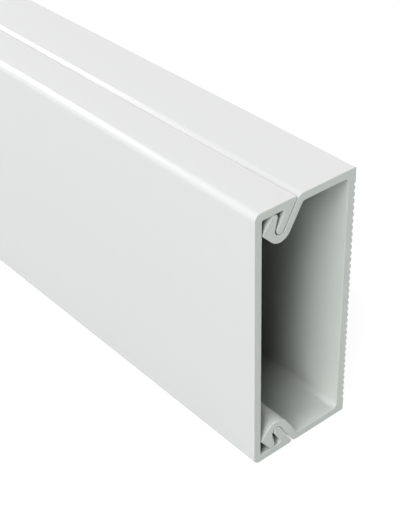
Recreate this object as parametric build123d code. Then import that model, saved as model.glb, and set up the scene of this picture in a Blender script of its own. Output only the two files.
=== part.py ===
from build123d import *
import os
from math import cos, radians, sin, tan

# Cord cover raceway: a ribbed base channel and the cover that snaps over it.
# It stands on one narrow side. X runs along the length, the cover faces -Y,
# the ribbed mounting back faces +Y and Z is up. The origin is the middle of
# the footprint. All sizes are in millimetres and degrees.

# Overall size
length = 400.0
width = 40.0
depth = 17.0

# Walls, and the gap between the cover and the base where they bear
wall = 1.15
clearance = 0.1

# Legs of the cover, and the hooks of the base that hold them
leg_angle = 31.0
leg_thickness = 1.14
leg_play = 0.2
hook_wall = 1.09
hook_reach = 5.535
toe_angle = 45.0
toe_run = 1.52
ramp_angle = 37.5
lip_angle = 14.0

# Edge radii of the cover
front_edge_radius = 1.0
front_inner_radius = 0.25
flange_end_radius = 0.32
leg_root_radius = 0.38

# Edge radii of the base
back_edge_radius = 0.25
back_inner_radius = 0.8
shoulder_radius = 1.1
shoulder_inner_radius = 0.5
lip_radius = 0.45
ramp_radius = 0.15
heel_radius = 0.2

# Ribbed back
rib_pitch = 1.0
rib_depth = 0.2
rib_margin = 2.0
notch_mouth = 0.55
notch_floor = 0.2


def step(distance, bearing):
    """Step in the section plane, its bearing taken from the depth axis."""
    return Vector(distance * cos(radians(bearing)), distance * sin(radians(bearing)))


# Section frame: first the depth behind the cover's face, then the height above
# mid-width. Each section is drawn as its lower half and mirrored.
side = -width / 2
section_plane = Plane(
    origin=(-length / 2, -depth / 2, width / 2), x_dir=(0, 1, 0), z_dir=(1, 0, 0)
)

# The groove for the leg and the hook's bend share one centre. The leg is pushed
# past it by its play, so that its round tip stops one clearance from the groove's
# floor. The hook's heel and lip stop one clearance from the cover's inner faces.
leg_radius = leg_thickness / 2
groove_radius = leg_radius + leg_play + clearance
bend_radius = groove_radius + hook_wall
seat = wall + clearance
hook_depth = seat + toe_run + bend_radius * sin(radians(toe_angle))
hook = Vector(hook_depth, side + hook_reach - bend_radius)
leg_tip = hook + Vector(0, leg_play)


def along_leg(centre, offset, inset):
    """Point, inset from the side face, of the line along the leg at an offset from a centre."""
    height = side + inset
    lean = (centre.Y - height) * tan(radians(leg_angle))
    return Vector(centre.X + lean + offset / cos(radians(leg_angle)), height)


def base_channel():
    """Extruded channel with a ribbed back and a hook along each free edge."""
    back_inner = depth - wall - rib_depth
    back_middle = Vector(depth, 0)
    back_corner = Vector(depth, side)
    seam_corner = along_leg(hook, groove_radius, 0)
    groove_start = hook + step(groove_radius, leg_angle)
    groove_end = hook + step(groove_radius, 180 + lip_angle)
    lip_height = side + seat
    lip_lean = (groove_end.Y - lip_height) * tan(radians(lip_angle))
    lip_corner = Vector(groove_end.X + lip_lean, lip_height)
    toe_start = hook + step(bend_radius, 90 + toe_angle)
    heel = toe_start - Vector(toe_run, toe_run * tan(radians(toe_angle)))
    ramp_lean = (heel.Y - lip_height) * tan(radians(ramp_angle))
    ramp_corner = Vector(heel.X + ramp_lean, lip_height)
    bend_end = hook + step(bend_radius, leg_angle)
    shoulder_inner = along_leg(hook, bend_radius, wall)
    inner_corner = Vector(back_inner, side + wall)
    inner_middle = Vector(back_inner, 0)
    notch_count = int((width - 2 * rib_margin) / rib_pitch)

    with BuildPart() as base:
        with BuildSketch(section_plane):
            with BuildLine():
                FilletPolyline(
                    back_middle, back_corner, seam_corner, groove_start,
                    radius=[back_edge_radius, shoulder_radius],
                )
                CenterArc(hook, groove_radius, leg_angle, 180 + lip_angle - leg_angle)
                FilletPolyline(
                    groove_end, lip_corner, ramp_corner, heel, toe_start,
                    radius=[lip_radius, ramp_radius, heel_radius],
                )
                CenterArc(hook, bend_radius, 90 + toe_angle, leg_angle - 90 - toe_angle)
                FilletPolyline(
                    bend_end, shoulder_inner, inner_corner, inner_middle,
                    radius=[shoulder_inner_radius, back_inner_radius],
                )
                Line(inner_middle, back_middle)
            make_face()
            mirror(about=Plane.XZ)
            with GridLocations(rib_pitch, rib_pitch, 1, notch_count):
                Polygon(
                    (depth, -notch_mouth / 2),
                    (depth, notch_mouth / 2),
                    (depth - rib_depth, notch_floor / 2),
                    (depth - rib_depth, -notch_floor / 2),
                    mode=Mode.SUBTRACT,
                )
        extrude(amount=length)
    return base.part


def cover():
    """Extruded cover whose flanges end flush with the base and turn in as slanted legs."""
    front_middle = Vector(0, 0)
    front_corner = Vector(0, side)
    flange_end = along_leg(leg_tip, leg_radius, 0)
    tip_start = leg_tip + step(leg_radius, leg_angle)
    tip_end = leg_tip + step(leg_radius, 180 + leg_angle)
    leg_root = along_leg(leg_tip, -leg_radius, wall)
    inner_corner = Vector(wall, side + wall)
    inner_middle = Vector(wall, 0)

    with BuildPart() as snap_cover:
        with BuildSketch(section_plane):
            with BuildLine():
                FilletPolyline(
                    front_middle, front_corner, flange_end, tip_start,
                    radius=[front_edge_radius, flange_end_radius],
                )
                CenterArc(leg_tip, leg_radius, leg_angle, 180)
                FilletPolyline(
                    tip_end, leg_root, inner_corner, inner_middle,
                    radius=[leg_root_radius, front_inner_radius],
                )
                Line(inner_middle, front_middle)
            make_face()
            mirror(about=Plane.XZ)
        extrude(amount=length)
    return snap_cover.part


os.makedirs("parts", exist_ok=True)
export_step(base_channel(), "parts/base_channel.step")
export_step(cover(), "parts/cover.step")
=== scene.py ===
"""Cord cover raceway: a ribbed base channel and its clip-in cover, both of satin white PVC."""

import math
from collections import namedtuple

import bpy
from bpy.props import FloatProperty, FloatVectorProperty, IntProperty, PointerProperty
from mathutils import Euler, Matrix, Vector


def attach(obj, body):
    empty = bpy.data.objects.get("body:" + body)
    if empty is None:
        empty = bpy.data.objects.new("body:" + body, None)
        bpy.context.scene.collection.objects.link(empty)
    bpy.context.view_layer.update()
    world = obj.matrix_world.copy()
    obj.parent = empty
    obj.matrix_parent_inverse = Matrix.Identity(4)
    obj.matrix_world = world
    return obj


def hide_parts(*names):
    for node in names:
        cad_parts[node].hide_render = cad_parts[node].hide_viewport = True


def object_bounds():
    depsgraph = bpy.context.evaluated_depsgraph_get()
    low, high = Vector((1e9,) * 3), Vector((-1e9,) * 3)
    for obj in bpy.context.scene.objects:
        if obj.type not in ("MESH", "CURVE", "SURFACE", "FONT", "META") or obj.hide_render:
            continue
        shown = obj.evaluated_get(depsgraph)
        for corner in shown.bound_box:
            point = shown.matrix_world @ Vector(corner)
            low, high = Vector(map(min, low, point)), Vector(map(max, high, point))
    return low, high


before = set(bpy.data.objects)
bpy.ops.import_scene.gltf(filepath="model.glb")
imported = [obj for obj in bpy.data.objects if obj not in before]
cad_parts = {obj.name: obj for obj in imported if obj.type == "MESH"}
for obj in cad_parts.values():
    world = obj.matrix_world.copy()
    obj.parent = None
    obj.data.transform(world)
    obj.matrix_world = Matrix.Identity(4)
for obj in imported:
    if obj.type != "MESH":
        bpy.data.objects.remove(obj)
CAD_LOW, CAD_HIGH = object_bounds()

bl_info = {
    "name": "Cord Cover Raceway",
    "version": (1, 0, 0),
    "blender": (4, 5, 0),
    "location": "3D View > Sidebar > Raceway",
    "description": "Models a cord cover raceway's base channel and cover in a white studio",
    "category": "Object",
}

MM = 0.001
FULL_TURN = 2 * math.pi
HALF_TURN = math.pi
QUARTER_TURN = math.pi / 2
EIGHTH_TURN = math.pi / 4
WHITE = (1.0, 1.0, 1.0, 1.0)

# Limits of the modelling: what counts as a whole notch, the fewest facets of a rounded corner,
# the share of the arc tolerance within which points weld, and the sharpest edge shaded smooth
COUNT_SLACK = 0.001
FEWEST_FACETS = 2
WELD_SHARE = 0.25
SMOOTH_ANGLE = math.radians(35.0)

# Level round which Blender's noise varies
NOISE_MIDDLE = 0.5

# The length runs along X with the near end at its high side, the cover faces -Y and Z is up
CAD_SIZE = CAD_HIGH - CAD_LOW
FRONT = CAD_LOW.y
UNDERSIDE = CAD_LOW.z
MID_WIDTH = (CAD_LOW.z + CAD_HIGH.z) / 2
MID_DEPTH = (CAD_LOW.y + CAD_HIGH.y) / 2
MID_LENGTH = (CAD_LOW.x + CAD_HIGH.x) / 2

Line = namedtuple("Line", "point direction")
Corner = namedtuple("Corner", "point radius")


def size_value(name, millimetres, description):
    """Length that a user can change, given in millimetres and kept in metres."""
    return FloatProperty(
        name=name, description=description, default=millimetres * MM,
        min=0.0, precision=5, subtype="DISTANCE", unit="LENGTH",
    )


def angle_value(name, degrees, description):
    """Angle that a user can change, given in degrees."""
    return FloatProperty(
        name=name, description=description, default=math.radians(degrees),
        subtype="ANGLE", unit="ROTATION",
    )


def share_value(name, default, description):
    """Plain number that a user can change."""
    return FloatProperty(name=name, description=description, default=default, min=0.0)


def colour_value(name, default, description):
    """Linear colour that a user can change."""
    return FloatVectorProperty(
        name=name, description=description, default=default, size=3,
        min=0.0, max=1.0, subtype="COLOR",
    )


def lamp_turn(lamp, degrees):
    """Place of a lamp round the raceway, from the cover's face towards the near end."""
    place = f"{lamp} light, round from the cover to the near end"
    return angle_value(f"{lamp} turn", degrees, place)


def lamp_lift(lamp, degrees):
    """Height of a lamp as an angle up from the floor."""
    return angle_value(f"{lamp} lift", degrees, f"{lamp} light, up from the floor")


def lamp_power(lamp, watts):
    """Power of a lamp, in watts."""
    return FloatProperty(
        name=f"{lamp} power", description=f"Power of the {lamp.lower()} light", default=watts,
        min=0.0, unit="POWER",
    )


class RacewaySection(bpy.types.PropertyGroup):
    """Sizes of the two extruded sections."""

    wall: size_value("Wall", 1.15, "Thickness of the walls of both extrusions")
    clearance: size_value("Clearance", 0.1, "Gap between the cover and the base where they bear")
    leg_angle: angle_value("Leg angle", 31.0, "Lean of the cover's legs towards the front")
    leg_thickness: size_value("Leg thickness", 1.14, "Thickness of the cover's legs")
    leg_play: size_value("Leg play", 0.2, "Play of a leg in its groove")
    hook_wall: size_value("Hook wall", 1.09, "Thickness of the base's hooks")
    hook_reach: size_value("Hook reach", 5.535, "Side face to the innermost point of a hook")
    toe_angle: angle_value("Toe angle", 45.0, "Slope of the toe under a hook's lip")
    toe_run: size_value("Toe run", 1.52, "Depth taken up by the sloping toe")
    ramp_angle: angle_value("Ramp angle", 37.5, "Lean of the lip's front face")
    lip_angle: angle_value("Lip angle", 14.0, "Lean of the lip's back face")
    front_edge_radius: size_value("Front edge", 1.0, "Radius of the cover's long front edges")
    front_inner_radius: size_value("Front inner edge", 0.25, "Radius inside the cover's edges")
    flange_end_radius: size_value("Flange end", 0.32, "Radius of the cover's edge at the seam")
    leg_root_radius: size_value("Leg root", 0.38, "Radius between a leg and its flange")
    back_edge_radius: size_value("Back edge", 0.25, "Radius of the base's long back edges")
    back_inner_radius: size_value("Back inner edge", 0.8, "Radius inside the base's back edges")
    shoulder_radius: size_value("Shoulder", 1.1, "Radius of the base's bend at the seam")
    shoulder_inner_radius: size_value("Shoulder inner", 0.5, "Radius inside the bend at the seam")
    lip_radius: size_value("Lip", 0.45, "Radius at the back of a hook's lip")
    ramp_radius: size_value("Ramp", 0.15, "Radius at the top of a lip's ramp")
    heel_radius: size_value("Heel", 0.2, "Radius where a hook bears on the cover")
    rib_pitch: size_value("Rib pitch", 1.0, "Distance between notches of the ribbed back")
    rib_depth: size_value("Rib depth", 0.2, "Depth of the notches of the ribbed back")
    rib_margin: size_value("Rib margin", 2.0, "Plain band along each long back edge")
    notch_mouth: size_value("Notch mouth", 0.55, "Width of a notch at its mouth")
    notch_floor: size_value("Notch floor", 0.2, "Width of a notch at its floor")
    crest_radius: size_value("Crest", 0.1, "Rounding of the ribs beside a notch")
    root_radius: size_value("Root", 0.04, "Rounding at the floor of a notch")
    saw_chamfer: size_value("Saw chamfer", 0.025, "Broken edge left around a sawn end")
    arc_tolerance: size_value("Arc tolerance", 0.002, "Largest gap between an arc and its facets")


class RacewayFinish(bpy.types.PropertyGroup):
    """Colours and surface values of the satin PVC, with painted shade inside the channel and
    painted light on the sawn ends.
    """

    base_colour: colour_value("Base colour", (0.765, 0.79, 0.77), "PVC of the base channel")
    cover_colour: colour_value("Cover colour", (0.765, 0.79, 0.775), "PVC of the cover")
    # Painted shade: a greener, slightly darker tint inside the channel that stands in for light
    # passing from wall to wall
    painted_shade_tint: colour_value("Inner painted shade", (0.745, 0.797, 0.75), "Greener, darker tint painted inside the channel as shade")
    # Sawn ends: partly a sawn cut's own whiter, matt PVC, partly painted light that lifts the end
    # face beyond what the lamps give it
    sawn_and_painted_light_colour: colour_value("Sawn colour and painted light", (0.88, 0.94, 0.89), "PVC of a sawn end, whiter and lifted as painted light")
    roughness: share_value("Roughness", 0.18, "Roughness of the extruded skin")
    sawn_roughness: share_value("Sawn roughness", 0.62, "Roughness of a sawn end")
    ior: share_value("Index of refraction", 1.52, "Index of refraction of PVC")
    streak_width: size_value("Streak width", 0.5, "Typical width of a die line")
    streak_length: size_value("Streak length", 300.0, "Typical length of a die line")
    streak_tint: share_value("Streak tint", 0.018, "Colour change along the die lines")
    streak_gloss: share_value("Streak gloss", 0.10, "Roughness change along the die lines")
    streak_height: size_value("Streak height", 0.004, "Height of the die lines")
    streak_detail: share_value("Streak detail", 3.0, "Octaves of noise in the die lines")
    streak_grit: share_value("Streak grit", 0.6, "Share of the finer octaves in the die lines")
    saw_pitch: size_value("Saw pitch", 0.35, "Distance between saw marks")
    saw_radius: size_value("Saw radius", 125.0, "Radius of the saw's arc across an end")
    saw_height: size_value("Saw height", 0.005, "Height of the saw marks")
    saw_wander: share_value("Saw wander", 4.0, "How far saw marks stray, in radians of their pitch")


class RacewayStage(bpy.types.PropertyGroup):
    """Camera, floor and lights."""

    camera_place: FloatVectorProperty(
        name="Camera place", description="Camera from the near end's lower front corner",
        default=(84.891 * MM, -77.104 * MM, 113.647 * MM), subtype="TRANSLATION", unit="LENGTH",
    )
    camera_turn: FloatVectorProperty(
        name="Camera turn", description="Turn of the camera",
        default=[math.radians(turn) for turn in (55.555, 1.430, 50.004)],
        subtype="EULER", unit="ROTATION",
    )
    lens: share_value("Lens", 83.64, "Focal length in millimetres on a 36 mm sensor")
    near_clip: size_value("Near clip", 1.0, "Nearest distance that the camera sees")
    floor_size: size_value("Floor size", 2000.0, "Side of the square floor")
    floor_colour: colour_value("Floor colour", (0.30, 0.30, 0.30), "Colour of the floor")
    floor_lift: share_value("Floor lift", 0.82, "White that shows on the floor besides its colour")
    lamp_distance: size_value("Lamp distance", 3000.0, "Raceway to each lamp")
    softbox_size: size_value("Softbox size", 1800.0, "Side of the other square lights")
    skim_size: size_value("Skim size", 800.0, "Side of the square skim light")
    strip_width: size_value("Strip width", 2900.0, "Width of the strip light")
    strip_height: size_value("Strip height", 800.0, "Height of the strip light")
    key_turn: lamp_turn("Key", 20.0)
    key_lift: lamp_lift("Key", 48.0)
    key_power: lamp_power("Key", 66.0)
    key_colour: colour_value("Key colour", (1.0, 0.955, 0.995), "Key, fill, top and strip lights")
    fill_turn: lamp_turn("Fill", 8.0)
    fill_lift: lamp_lift("Fill", 15.0)
    fill_power: lamp_power("Fill", 5.0)
    low_turn: lamp_turn("Low", 28.0)
    low_lift: lamp_lift("Low", 15.0)
    low_power: lamp_power("Low", 22.5)
    low_colour: colour_value("Low colour", (0.93, 1.0, 0.95), "Low and skim lights")
    skim_turn: lamp_turn("Skim", 28.0)
    skim_lift: lamp_lift("Skim", 8.0)
    skim_power: lamp_power("Skim", 11.5)
    back_turn: lamp_turn("Back", 165.0)
    back_lift: lamp_lift("Back", 35.0)
    back_power: lamp_power("Back", 34.0)
    back_colour: colour_value("Back colour", (1.0, 0.98, 1.0), "Back and rear lights")
    rear_turn: lamp_turn("Rear", 200.0)
    rear_lift: lamp_lift("Rear", 6.0)
    rear_power: lamp_power("Rear", 35.0)
    top_turn: lamp_turn("Top", 0.0)
    top_lift: lamp_lift("Top", 88.0)
    top_power: lamp_power("Top", 5.5)
    strip_turn: lamp_turn("Strip", -84.0)
    strip_lift: lamp_lift("Strip", 37.0)
    strip_power: lamp_power("Strip", 25.0)
    bounces: IntProperty(
        name="Bounces", description="Times that light passes on from wall to wall",
        default=1, min=0,
    )


def section_point(depth, inset):
    """Point of the section, at a depth behind the cover's face and an inset from the lower side."""
    return Vector((FRONT + depth, UNDERSIDE + inset))


def bearing(angle, distance=1.0):
    """Step in the section plane, its angle taken from the depth axis."""
    return Vector((distance * math.cos(angle), distance * math.sin(angle)))


def crossing(first, second):
    """Point where two lines of the section cross."""
    apart = second.point - first.point
    share = apart.cross(second.direction) / first.direction.cross(second.direction)
    return first.point + share * first.direction


ACROSS_DEPTH = bearing(0.0)
ACROSS_WIDTH = bearing(QUARTER_TURN)


def depth_line(inset):
    """Line along the depth, inset from the side face."""
    return Line(section_point(0.0, inset), ACROSS_DEPTH)


def width_line(depth):
    """Line along the width, at a depth behind the cover's face."""
    return Line(section_point(depth, 0.0), ACROSS_WIDTH)


def tangent_line(centre, radius, angle):
    """Line that touches a circle where its radius has this angle."""
    return Line(centre + bearing(angle, radius), bearing(angle + QUARTER_TURN))


def hook_radii(section):
    """Radius of a leg's tip, of the groove around it and of the outside of the hook."""
    tip = section.leg_thickness / 2
    groove = tip + section.leg_play + section.clearance
    return tip, groove, groove + section.hook_wall


def hook_centre(section):
    """Centre that the hook's bend and the groove in it share, at the lower side."""
    bend = hook_radii(section)[2]
    heel_depth = section.wall + section.clearance
    depth = heel_depth + section.toe_run + bend * math.sin(section.toe_angle)
    return section_point(depth, section.hook_reach - bend)


def base_corners(section):
    """Corners of the base's lower half, from its back edge round the hook to its inner corner."""
    groove, bend = hook_radii(section)[1:]
    centre = hook_centre(section)
    seat = section.wall + section.clearance
    side = depth_line(0.0)
    side_inner = depth_line(section.wall)
    back = width_line(CAD_SIZE.y)
    back_inner = width_line(CAD_SIZE.y - section.wall - section.rib_depth)
    groove_back = tangent_line(centre, groove, section.leg_angle)
    lip_back = tangent_line(centre, groove, HALF_TURN + section.lip_angle)
    lip_top = depth_line(seat)
    toe = tangent_line(centre, bend, QUARTER_TURN + section.toe_angle)
    heel = crossing(toe, width_line(seat))
    ramp = Line(heel, bearing(section.ramp_angle - QUARTER_TURN))
    strip_back = tangent_line(centre, bend, section.leg_angle)
    return [
        Corner(crossing(back, side), section.back_edge_radius),
        Corner(crossing(side, groove_back), section.shoulder_radius),
        Corner(crossing(groove_back, lip_back), groove),
        Corner(crossing(lip_back, lip_top), section.lip_radius),
        Corner(crossing(lip_top, ramp), section.ramp_radius),
        Corner(heel, section.heel_radius),
        Corner(crossing(toe, strip_back), bend),
        Corner(crossing(strip_back, side_inner), section.shoulder_inner_radius),
        Corner(crossing(side_inner, back_inner), section.back_inner_radius),
    ]


def cover_corners(section):
    """Corners of the cover's lower half, from its front edge round the leg to its inner corner."""
    tip = hook_radii(section)[0]
    centre = hook_centre(section) + bearing(QUARTER_TURN, section.leg_play)
    side = depth_line(0.0)
    side_inner = depth_line(section.wall)
    front = width_line(0.0)
    front_inner = width_line(section.wall)
    leg_back = tangent_line(centre, tip, section.leg_angle)
    leg_end = tangent_line(centre, tip, section.leg_angle + QUARTER_TURN)
    leg_front = tangent_line(centre, tip, section.leg_angle + HALF_TURN)
    return [
        Corner(crossing(front, side), section.front_edge_radius),
        Corner(crossing(side, leg_back), section.flange_end_radius),
        Corner(crossing(leg_back, leg_end), tip),
        Corner(crossing(leg_end, leg_front), tip),
        Corner(crossing(leg_front, side_inner), section.leg_root_radius),
        Corner(crossing(side_inner, front_inner), section.front_inner_radius),
    ]


def mirrored(corners):
    """The same corners on the upper half, in the order that carries the outline on."""
    flipped = [Vector((c.point.x, 2 * MID_WIDTH - c.point.y)) for c in reversed(corners)]
    return [Corner(point, c.radius) for point, c in zip(flipped, reversed(corners))]


def notch_corners(section):
    """Corners of the back's notches, from the top of the ribbed band to its foot."""
    back = FRONT + CAD_SIZE.y
    floor = back - section.rib_depth
    half_mouth = section.notch_mouth / 2
    half_floor = section.notch_floor / 2
    count = int((CAD_SIZE.z - 2 * section.rib_margin) / section.rib_pitch + COUNT_SLACK)
    corners = []
    for place in range(count):
        height = MID_WIDTH + ((count - 1) / 2 - place) * section.rib_pitch
        corners += [
            Corner(Vector((back, height + half_mouth)), section.crest_radius),
            Corner(Vector((floor, height + half_floor)), section.root_radius),
            Corner(Vector((floor, height - half_floor)), section.root_radius),
            Corner(Vector((back, height - half_mouth)), section.crest_radius),
        ]
    return corners


def extrude_point(start, end):
    """Draw a straight run of the outline from the selected point."""
    run = end - start
    bpy.ops.mesh.extrude_vertices_move(TRANSFORM_OT_translate={"value": (0.0, run.x, run.y)})


def draw_outline(name, corners, end_x, tolerance):
    """Draw a closed outline at one end, with straight runs extruded and rounded corners spun."""
    first = (corners[-1].point + corners[0].point) / 2
    bpy.ops.object.select_all(action="DESELECT")
    bpy.ops.mesh.primitive_plane_add(size=tolerance, location=(end_x, first.x, first.y))
    piece = bpy.context.object
    piece.name = name
    piece.data.name = name
    bpy.ops.object.mode_set(mode="EDIT")
    bpy.ops.mesh.select_mode(type="VERT")
    # The small plane shrinks to the one point that the outline starts from
    bpy.ops.mesh.merge(type="CENTER")
    pen = first
    neighbours = zip([corners[-1]] + corners[:-1], corners, corners[1:] + [corners[0]])
    for before, corner, after in neighbours:
        way_in = (corner.point - before.point).normalized()
        way_out = (after.point - corner.point).normalized()
        turn = math.atan2(way_in.cross(way_out), way_in.dot(way_out))
        tangent = corner.radius * math.tan(abs(turn) / 2)
        start = corner.point - way_in * tangent
        extrude_point(pen, start)
        inward = Vector((-way_in.y, way_in.x)) * math.copysign(corner.radius, turn)
        centre = start + inward
        facet = 2 * math.acos(1 - min(tolerance / corner.radius, 1.0))
        bpy.ops.mesh.spin(
            steps=max(FEWEST_FACETS, math.ceil(abs(turn) / facet)), angle=-turn,
            center=(end_x, centre.x, centre.y), axis=(1.0, 0.0, 0.0),
        )
        pen = corner.point + way_out * tangent
    extrude_point(pen, first)
    bpy.ops.mesh.select_all(action="SELECT")
    bpy.ops.mesh.remove_doubles(threshold=tolerance * WELD_SHARE)
    return piece


def extrude_section(name, corners, section):
    """Fill an outline, extrude it along the raceway and break the edges of its sawn ends."""
    chamfer = section.saw_chamfer
    piece = draw_outline(name, corners, CAD_LOW.x + chamfer, section.arc_tolerance)
    bpy.ops.mesh.edge_face_add()
    run = CAD_SIZE.x - 2 * chamfer
    bpy.ops.mesh.extrude_region_move(TRANSFORM_OT_translate={"value": (run, 0.0, 0.0)})
    bpy.ops.mesh.select_all(action="SELECT")
    bpy.ops.mesh.normals_make_consistent(inside=False)
    bpy.ops.mesh.select_mode(type="FACE")
    bpy.ops.mesh.select_all(action="DESELECT")
    bpy.ops.object.mode_set(mode="OBJECT")
    for face in piece.data.polygons:
        face.select = abs(face.normal.x) > math.cos(EIGHTH_TURN)
    bpy.ops.object.mode_set(mode="EDIT")
    # Each sawn end shrinks by the chamfer and moves out by as much
    bpy.ops.mesh.inset(thickness=chamfer, depth=chamfer)
    bpy.ops.object.mode_set(mode="OBJECT")
    bpy.ops.object.shade_smooth_by_angle(angle=SMOOTH_ANGLE)
    bpy.ops.object.transform_apply(location=True, rotation=True, scale=True)
    return piece


class Value:
    """Number socket of a node tree, whose arithmetic adds Math nodes."""

    def __init__(self, nodes, socket):
        self.nodes = nodes
        self.socket = socket

    def combine(self, operation, first, second):
        node = self.nodes.add("ShaderNodeMath", {"operation": operation}, {0: first, 1: second})
        return Value(self.nodes, node.outputs[0])

    def __add__(self, other):
        return self.combine("ADD", self, other)

    def __radd__(self, other):
        return self.combine("ADD", other, self)

    def __sub__(self, other):
        return self.combine("SUBTRACT", self, other)

    def __rsub__(self, other):
        return self.combine("SUBTRACT", other, self)

    def __mul__(self, other):
        return self.combine("MULTIPLY", self, other)

    def __rmul__(self, other):
        return self.combine("MULTIPLY", other, self)

    def absolute(self):
        return self.combine("ABSOLUTE", self, 0.0)

    def sine(self):
        return self.combine("SINE", self, 0.0)

    def minimum(self, other):
        return self.combine("MINIMUM", self, other)

    def maximum(self, other):
        return self.combine("MAXIMUM", self, other)

    def above(self, limit):
        return self.combine("GREATER_THAN", self, limit)


class Nodes:
    """Node tree of a material or a world, cleared and ready to be filled."""

    def __init__(self, owner):
        owner.use_nodes = True
        self.tree = owner.node_tree
        self.tree.nodes.clear()

    def add(self, kind, settings=None, sockets=None):
        """Add a node with its settings, then the values or links of its sockets."""
        node = self.tree.nodes.new(kind)
        for name, setting in (settings or {}).items():
            setattr(node, name, setting)
        for name, source in (sockets or {}).items():
            if isinstance(source, Value):
                source = source.socket
            if isinstance(source, bpy.types.NodeSocket):
                self.tree.links.new(source, node.inputs[name])
            else:
                node.inputs[name].default_value = source
        return node

    def value(self, kind, output, settings=None, sockets=None):
        """Add a node and take one of its outputs as a number."""
        return Value(self, self.add(kind, settings, sockets).outputs[output])


def satin_pvc(name, colour, finish, section):
    """Satin white PVC with faint die lines along its length and saw marks across its ends, a
    painted shade tint inside the channel and painted light on its sawn ends.
    """
    material = bpy.data.materials.new(name)
    nodes = Nodes(material)
    place = nodes.add("ShaderNodeTexCoord").outputs["Object"]
    axes = nodes.add("ShaderNodeSeparateXYZ", sockets={"Vector": place})
    along, across, up = (Value(nodes, axes.outputs[axis]) for axis in "XYZ")
    sawn = (along - MID_LENGTH).absolute().above((CAD_SIZE.x - section.saw_chamfer) / 2)
    from_face = CAD_SIZE.y / 2 - (across - MID_DEPTH).absolute()
    from_side = CAD_SIZE.z / 2 - (up - MID_WIDTH).absolute()
    # Mask of the inside of the channel, where the painted shade tint goes
    inner = from_face.minimum(from_side).above(section.wall / 2)
    narrow = 1 / finish.streak_width
    stretched = nodes.add(
        "ShaderNodeMapping",
        sockets={"Vector": place, "Scale": (1 / finish.streak_length, narrow, narrow)},
    )
    noise = nodes.value(
        "ShaderNodeTexNoise", "Fac", {"noise_dimensions": "3D"},
        {
            "Vector": stretched.outputs["Vector"], "Scale": 1.0,
            "Detail": finish.streak_detail, "Roughness": finish.streak_grit,
        },
    )
    streak = noise - NOISE_MIDDLE
    end_place = nodes.add("ShaderNodeCombineXYZ", sockets={"Y": across, "Z": up})
    saw_centre = (0.0, MID_DEPTH - finish.saw_radius, MID_WIDTH)
    from_saw = nodes.value(
        "ShaderNodeVectorMath", "Value", {"operation": "DISTANCE"},
        {0: end_place.outputs["Vector"], 1: saw_centre},
    )
    saw = (from_saw * (FULL_TURN / finish.saw_pitch) + streak * finish.saw_wander).sine()
    tint = 1 + streak * finish.streak_tint
    # Painted shade: the inside of the channel takes the greener, darker tint in place of light
    # bounced between its walls
    colour_with_painted_shade = nodes.add(
        "ShaderNodeMix", {"data_type": "RGBA"},
        {"Factor": inner, "A": (*colour, 1.0), "B": (*finish.painted_shade_tint, 1.0)},
    )
    skin = nodes.add(
        "ShaderNodeVectorMath", {"operation": "SCALE"},
        {0: colour_with_painted_shade.outputs["Result"], "Scale": tint},
    )
    # The sawn ends take their whiter colour, partly real sawn PVC and partly painted light on the
    # end face
    shade = nodes.add(
        "ShaderNodeMix", {"data_type": "RGBA"},
        {"Factor": sawn, "A": skin.outputs["Vector"], "B": (*finish.sawn_and_painted_light_colour, 1.0)},
    )
    skin_roughness = finish.roughness + streak * finish.streak_gloss
    roughness = skin_roughness + sawn * (finish.sawn_roughness - skin_roughness)
    height = streak * finish.streak_height * (1 - sawn) + saw * finish.saw_height * sawn
    bump = nodes.add("ShaderNodeBump", sockets={"Height": height, "Strength": 1.0, "Distance": 1.0})
    shader = nodes.add(
        "ShaderNodeBsdfPrincipled",
        sockets={
            "Base Color": shade.outputs["Result"], "Roughness": roughness,
            "Normal": bump.outputs["Normal"], "IOR": finish.ior,
        },
    )
    nodes.add("ShaderNodeOutputMaterial", sockets={"Surface": shader.outputs["BSDF"]})
    return material


def place_piece(piece, material, body, node):
    """Give a piece its finish and let it stand for its node on its body."""
    piece.data.materials.append(material)
    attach(piece, body)
    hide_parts(node)


class RACEWAY_OT_base_channel(bpy.types.Operator):
    """Model the ribbed base channel"""

    bl_idname = "raceway.base_channel"
    bl_label = "Base Channel"

    def execute(self, context):
        section = context.scene.raceway_section
        finish = context.scene.raceway_finish
        half = base_corners(section)
        corners = half + mirrored(half) + notch_corners(section)
        piece = extrude_section("ribbed_base", corners, section)
        material = satin_pvc("base_satin_pvc", finish.base_colour, finish, section)
        place_piece(piece, material, "base", "base_channel")
        return {"FINISHED"}


class RACEWAY_OT_cover(bpy.types.Operator):
    """Model the clip-in cover"""

    bl_idname = "raceway.cover"
    bl_label = "Cover"

    def execute(self, context):
        section = context.scene.raceway_section
        finish = context.scene.raceway_finish
        half = cover_corners(section)
        piece = extrude_section("clip_cover", half + mirrored(half), section)
        material = satin_pvc("cover_satin_pvc", finish.cover_colour, finish, section)
        place_piece(piece, material, "cover", "cover")
        return {"FINISHED"}


def softbox(stage, lamp, size, colour):
    """Add one of the stage's soft lights, facing the near half of the raceway."""
    turn = getattr(stage, lamp + "_turn")
    lift = getattr(stage, lamp + "_lift")
    target = Vector(((MID_LENGTH + CAD_HIGH.x) / 2, MID_DEPTH, MID_WIDTH))
    level = math.cos(lift)
    way = Vector((math.sin(turn) * level, -math.cos(turn) * level, math.sin(lift)))
    bpy.ops.object.light_add(
        type="AREA", location=target + way * stage.lamp_distance,
        rotation=(-way).to_track_quat("-Z", "Y").to_euler(),
    )
    light = bpy.context.object
    light.name = lamp + "_light"
    light.data.shape = "RECTANGLE"
    light.data.size, light.data.size_y = size
    light.data.energy = getattr(stage, lamp + "_power")
    light.data.color = colour


def seen_rays(nodes):
    """1 for rays from the camera, from reflections and through glass, 0 for those that light."""
    path = nodes.add("ShaderNodeLightPath").outputs
    camera, glossy, through = (
        Value(nodes, path[f"Is {kind} Ray"]) for kind in ("Camera", "Glossy", "Transmission")
    )
    return camera.maximum(glossy).maximum(through)


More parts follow.
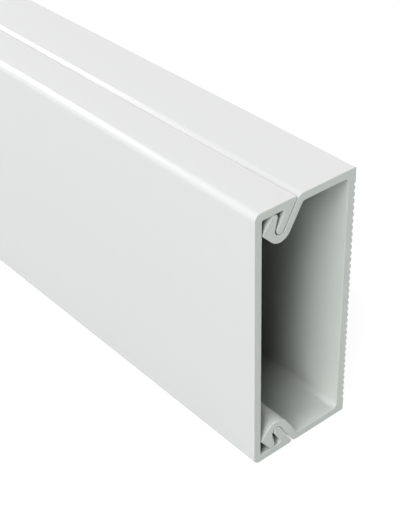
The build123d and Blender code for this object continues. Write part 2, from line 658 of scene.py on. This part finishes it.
def white_world():
    """White backdrop for the camera and for reflections, which leaves the lighting to the lamps."""
    world = bpy.data.worlds.new("white_backdrop")
    bpy.context.scene.world = world
    nodes = Nodes(world)
    sky = nodes.add("ShaderNodeBackground", sockets={"Color": WHITE, "Strength": seen_rays(nodes)})
    nodes.add("ShaderNodeOutputWorld", sockets={"Surface": sky.outputs["Background"]})


def floor_paint(colour, lift):
    """Matt floor that shows white to the camera except where the object shades it."""
    material = bpy.data.materials.new("floor_paint")
    nodes = Nodes(material)
    matt = nodes.add("ShaderNodeBsdfDiffuse", sockets={"Color": (*colour, 1.0)})
    white = seen_rays(nodes) * lift
    glow = nodes.add("ShaderNodeEmission", sockets={"Color": WHITE, "Strength": white})
    both = nodes.add(
        "ShaderNodeAddShader", sockets={0: matt.outputs["BSDF"], 1: glow.outputs["Emission"]}
    )
    nodes.add("ShaderNodeOutputMaterial", sockets={"Surface": both.outputs["Shader"]})
    return material


class RACEWAY_OT_stage(bpy.types.Operator):
    """Set the floor, the lights and the camera"""

    bl_idname = "raceway.stage"
    bl_label = "Stage"

    def execute(self, context):
        stage = context.scene.raceway_stage
        bpy.ops.object.select_all(action="DESELECT")
        bpy.ops.mesh.primitive_plane_add(
            size=stage.floor_size, location=(MID_LENGTH, MID_DEPTH, UNDERSIDE)
        )
        floor = context.object
        floor.name = "floor"
        floor.data.materials.append(floor_paint(stage.floor_colour, stage.floor_lift))
        white_world()
        box = (stage.softbox_size, stage.softbox_size)
        softbox(stage, "key", box, stage.key_colour)
        softbox(stage, "fill", box, stage.key_colour)
        softbox(stage, "low", box, stage.low_colour)
        softbox(stage, "skim", (stage.skim_size, stage.skim_size), stage.low_colour)
        softbox(stage, "back", box, stage.back_colour)
        softbox(stage, "rear", box, stage.back_colour)
        softbox(stage, "top", box, stage.key_colour)
        softbox(stage, "strip", (stage.strip_width, stage.strip_height), stage.key_colour)
        near_end = Vector((CAD_HIGH.x, FRONT, UNDERSIDE))
        bpy.ops.object.camera_add(
            location=near_end + Vector(stage.camera_place), rotation=Euler(stage.camera_turn)
        )
        camera = context.object
        camera.data.lens = stage.lens
        camera.data.clip_start = stage.near_clip
        context.scene.camera = camera
        context.scene.cycles.diffuse_bounces = stage.bounces
        context.scene.view_settings.view_transform = "Standard"
        return {"FINISHED"}


class RACEWAY_PT_sidebar(bpy.types.Panel):
    """Raceway tools in the 3D view's sidebar"""

    bl_idname = "RACEWAY_PT_sidebar"
    bl_label = "Cord Cover Raceway"
    bl_space_type = "VIEW_3D"
    bl_region_type = "UI"
    bl_category = "Raceway"

    def draw(self, context):
        for operator in (RACEWAY_OT_base_channel, RACEWAY_OT_cover, RACEWAY_OT_stage):
            self.layout.operator(operator.bl_idname)
        scene = context.scene
        for group in (scene.raceway_section, scene.raceway_finish, scene.raceway_stage):
            box = self.layout.box()
            for name in group.bl_rna.properties.keys():
                if name not in {"rna_type", "name"}:
                    box.prop(group, name)


CLASSES = (
    RacewaySection, RacewayFinish, RacewayStage,
    RACEWAY_OT_base_channel, RACEWAY_OT_cover, RACEWAY_OT_stage, RACEWAY_PT_sidebar,
)


def register():
    """Add the raceway's values, operators and panel to Blender."""
    for item in CLASSES:
        bpy.utils.register_class(item)
    bpy.types.Scene.raceway_section = PointerProperty(type=RacewaySection)
    bpy.types.Scene.raceway_finish = PointerProperty(type=RacewayFinish)
    bpy.types.Scene.raceway_stage = PointerProperty(type=RacewayStage)


def unregister():
    """Take the raceway's values, operators and panel out of Blender again."""
    del bpy.types.Scene.raceway_stage
    del bpy.types.Scene.raceway_finish
    del bpy.types.Scene.raceway_section
    for item in reversed(CLASSES):
        bpy.utils.unregister_class(item)


def main():
    """Model both pieces and set the stage."""
    register()
    bpy.ops.raceway.base_channel()
    bpy.ops.raceway.cover()
    bpy.ops.raceway.stage()


if __name__ == "__main__":
    main()
